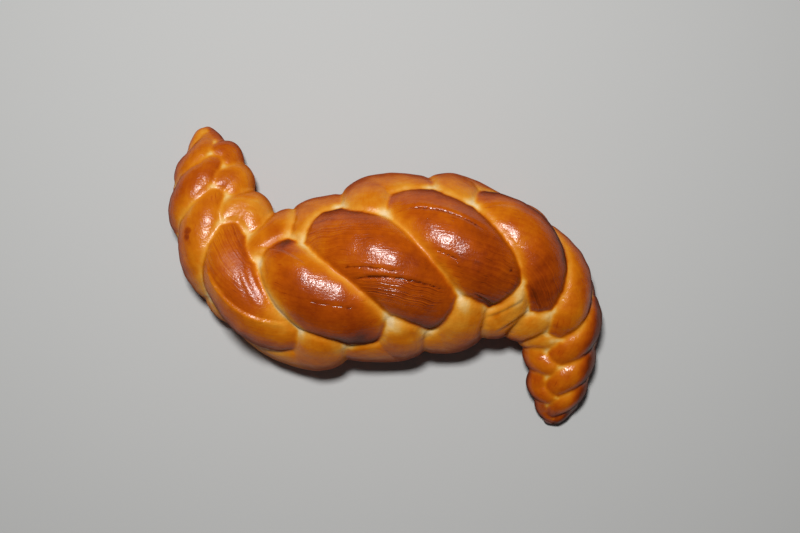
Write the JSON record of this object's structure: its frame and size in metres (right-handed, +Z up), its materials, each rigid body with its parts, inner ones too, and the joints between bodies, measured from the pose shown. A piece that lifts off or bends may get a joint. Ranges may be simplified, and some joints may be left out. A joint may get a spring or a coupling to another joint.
{
  "type": "braided loaf",
  "caption": "Baked plaited bread loaf, bent into a lazy S, fat in the middle and tapering to blunt tips, with a glossy golden-brown crust and a flat base.",
  "frame": {"origin": "centre of the bounding box in plan, on the flat base", "axes": "+Z up, +X along the length of the loaf from the left tip (which turns up towards +Y) to the right tip (which turns down towards -Y)"},
  "size_m": [0.3538, 0.247, 0.0924],
  "materials": {
    "crust": "egg-washed bread crust, dark and shiny on the crowns, pale and dull in the seams"
  },
  "bodies": {
    "root": {"loaf": "crust"}
  },
  "joints": []
}
